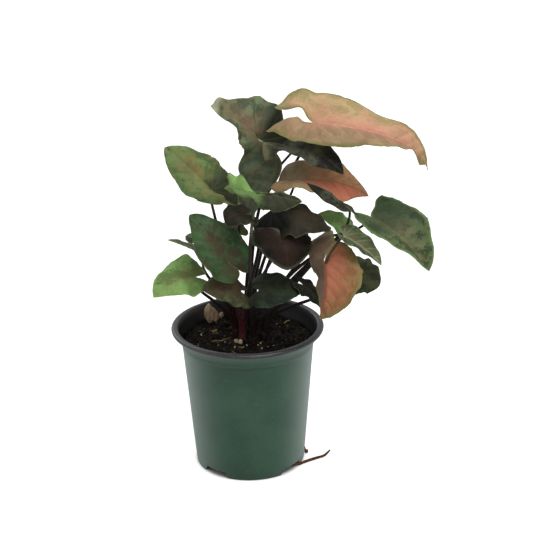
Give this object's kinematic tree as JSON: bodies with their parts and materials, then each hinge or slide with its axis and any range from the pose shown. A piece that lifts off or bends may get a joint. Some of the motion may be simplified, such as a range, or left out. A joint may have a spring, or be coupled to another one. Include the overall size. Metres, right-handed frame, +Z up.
{
  "type": "potted arrowhead plant",
  "caption": "Bushy arrowhead plant with pink, tan and green arrow-shaped leaves on thin stalks, growing in a round green nursery pot of soil.",
  "frame": {"origin": "centre of the pot's underside, on the surface that the pot stands on", "axes": "+Z up, the front of the plant faces -Y, +X to the right as seen from the front"},
  "size_m": [0.2023, 0.1557, 0.285],
  "materials": {
    "pot": "moulded green plastic, a fine matt grain outside and a rolled lip",
    "soil": "dark, rough, crumbly potting soil",
    "bark_chip": "pale worn bark, rough",
    "bark_chip_small": "pale worn bark, rough",
    "root": "dry red-brown root",
    "shoot_tall": "smooth waxy maroon and olive leaf stalks",
    "shoot_left": "smooth waxy maroon and olive leaf stalks",
    "shoot_front": "smooth waxy maroon and olive leaf stalks",
    "shoot_right": "smooth waxy maroon and olive leaf stalks",
    "shoot_low": "smooth waxy maroon and olive leaf stalks",
    "shoot_back": "smooth waxy maroon and olive leaf stalks",
    "leaf_top_pink": "waxy leaf, tan pink with green edges and blotches",
    "leaf_upper_left": "waxy leaf, mid green with paler veins",
    "leaf_under_top": "waxy leaf, dusky dark green",
    "leaf_left": "waxy leaf, mid green with paler veins",
    "leaf_folded_light": "waxy leaf, light green with paler veins",
    "leaf_center_brown": "waxy leaf, green with a brown-pink middle",
    "leaf_center_dark": "waxy leaf, dusky dark green",
    "leaf_center_drooping": "waxy leaf, green with a brown-pink middle",
    "leaf_mid_left": "waxy leaf, mid green with paler veins",
    "leaf_narrow_left": "waxy leaf, mid green with paler veins",
    "leaf_low_left": "waxy leaf, light green with paler veins",
    "leaf_low_front_left": "waxy leaf, green with a brown-pink middle",
    "leaf_low_front_right": "waxy leaf, dusky dark green",
    "leaf_right_pink": "waxy leaf, tan pink with green edges and blotches",
    "leaf_behind_pink": "waxy leaf, dusky dark green",
    "leaf_right_green": "waxy leaf, mid green with paler veins",
    "leaf_right_narrow": "waxy leaf, dusky dark green",
    "leaf_right_small": "waxy leaf, light green with paler veins",
    "leaf_right_low": "waxy leaf, mid green with paler veins",
    "leaf_low_right": "waxy leaf, dusky dark green",
    "leaf_second_pink": "waxy leaf, tan pink with green edges and blotches",
    "leaf_back_left": "waxy leaf, mid green with paler veins",
    "leaf_back_middle": "waxy leaf, mid green with paler veins",
    "leaf_back_right": "waxy leaf, dusky dark green",
    "leaf_back_low": "waxy leaf, light green with paler veins"
  },
  "bodies": {
    "root": {"pot": "pot", "soil": "soil", "bark_chip": "bark_chip", "bark_chip_small": "bark_chip_small", "root": "root", "shoot_tall": "shoot_tall", "shoot_left": "shoot_left", "shoot_front": "shoot_front", "shoot_right": "shoot_right", "shoot_low": "shoot_low", "shoot_back": "shoot_back", "leaf_top_pink": "leaf_top_pink", "leaf_upper_left": "leaf_upper_left", "leaf_under_top": "leaf_under_top", "leaf_left": "leaf_left", "leaf_folded_light": "leaf_folded_light", "leaf_center_brown": "leaf_center_brown", "leaf_center_dark": "leaf_center_dark", "leaf_center_drooping": "leaf_center_drooping", "leaf_mid_left": "leaf_mid_left", "leaf_narrow_left": "leaf_narrow_left", "leaf_low_left": "leaf_low_left", "leaf_low_front_left": "leaf_low_front_left", "leaf_low_front_right": "leaf_low_front_right", "leaf_right_pink": "leaf_right_pink", "leaf_behind_pink": "leaf_behind_pink", "leaf_right_green": "leaf_right_green", "leaf_right_narrow": "leaf_right_narrow", "leaf_right_small": "leaf_right_small", "leaf_right_low": "leaf_right_low", "leaf_low_right": "leaf_low_right", "leaf_second_pink": "leaf_second_pink", "leaf_back_left": "leaf_back_left", "leaf_back_middle": "leaf_back_middle", "leaf_back_right": "leaf_back_right", "leaf_back_low": "leaf_back_low"}
  },
  "joints": []
}
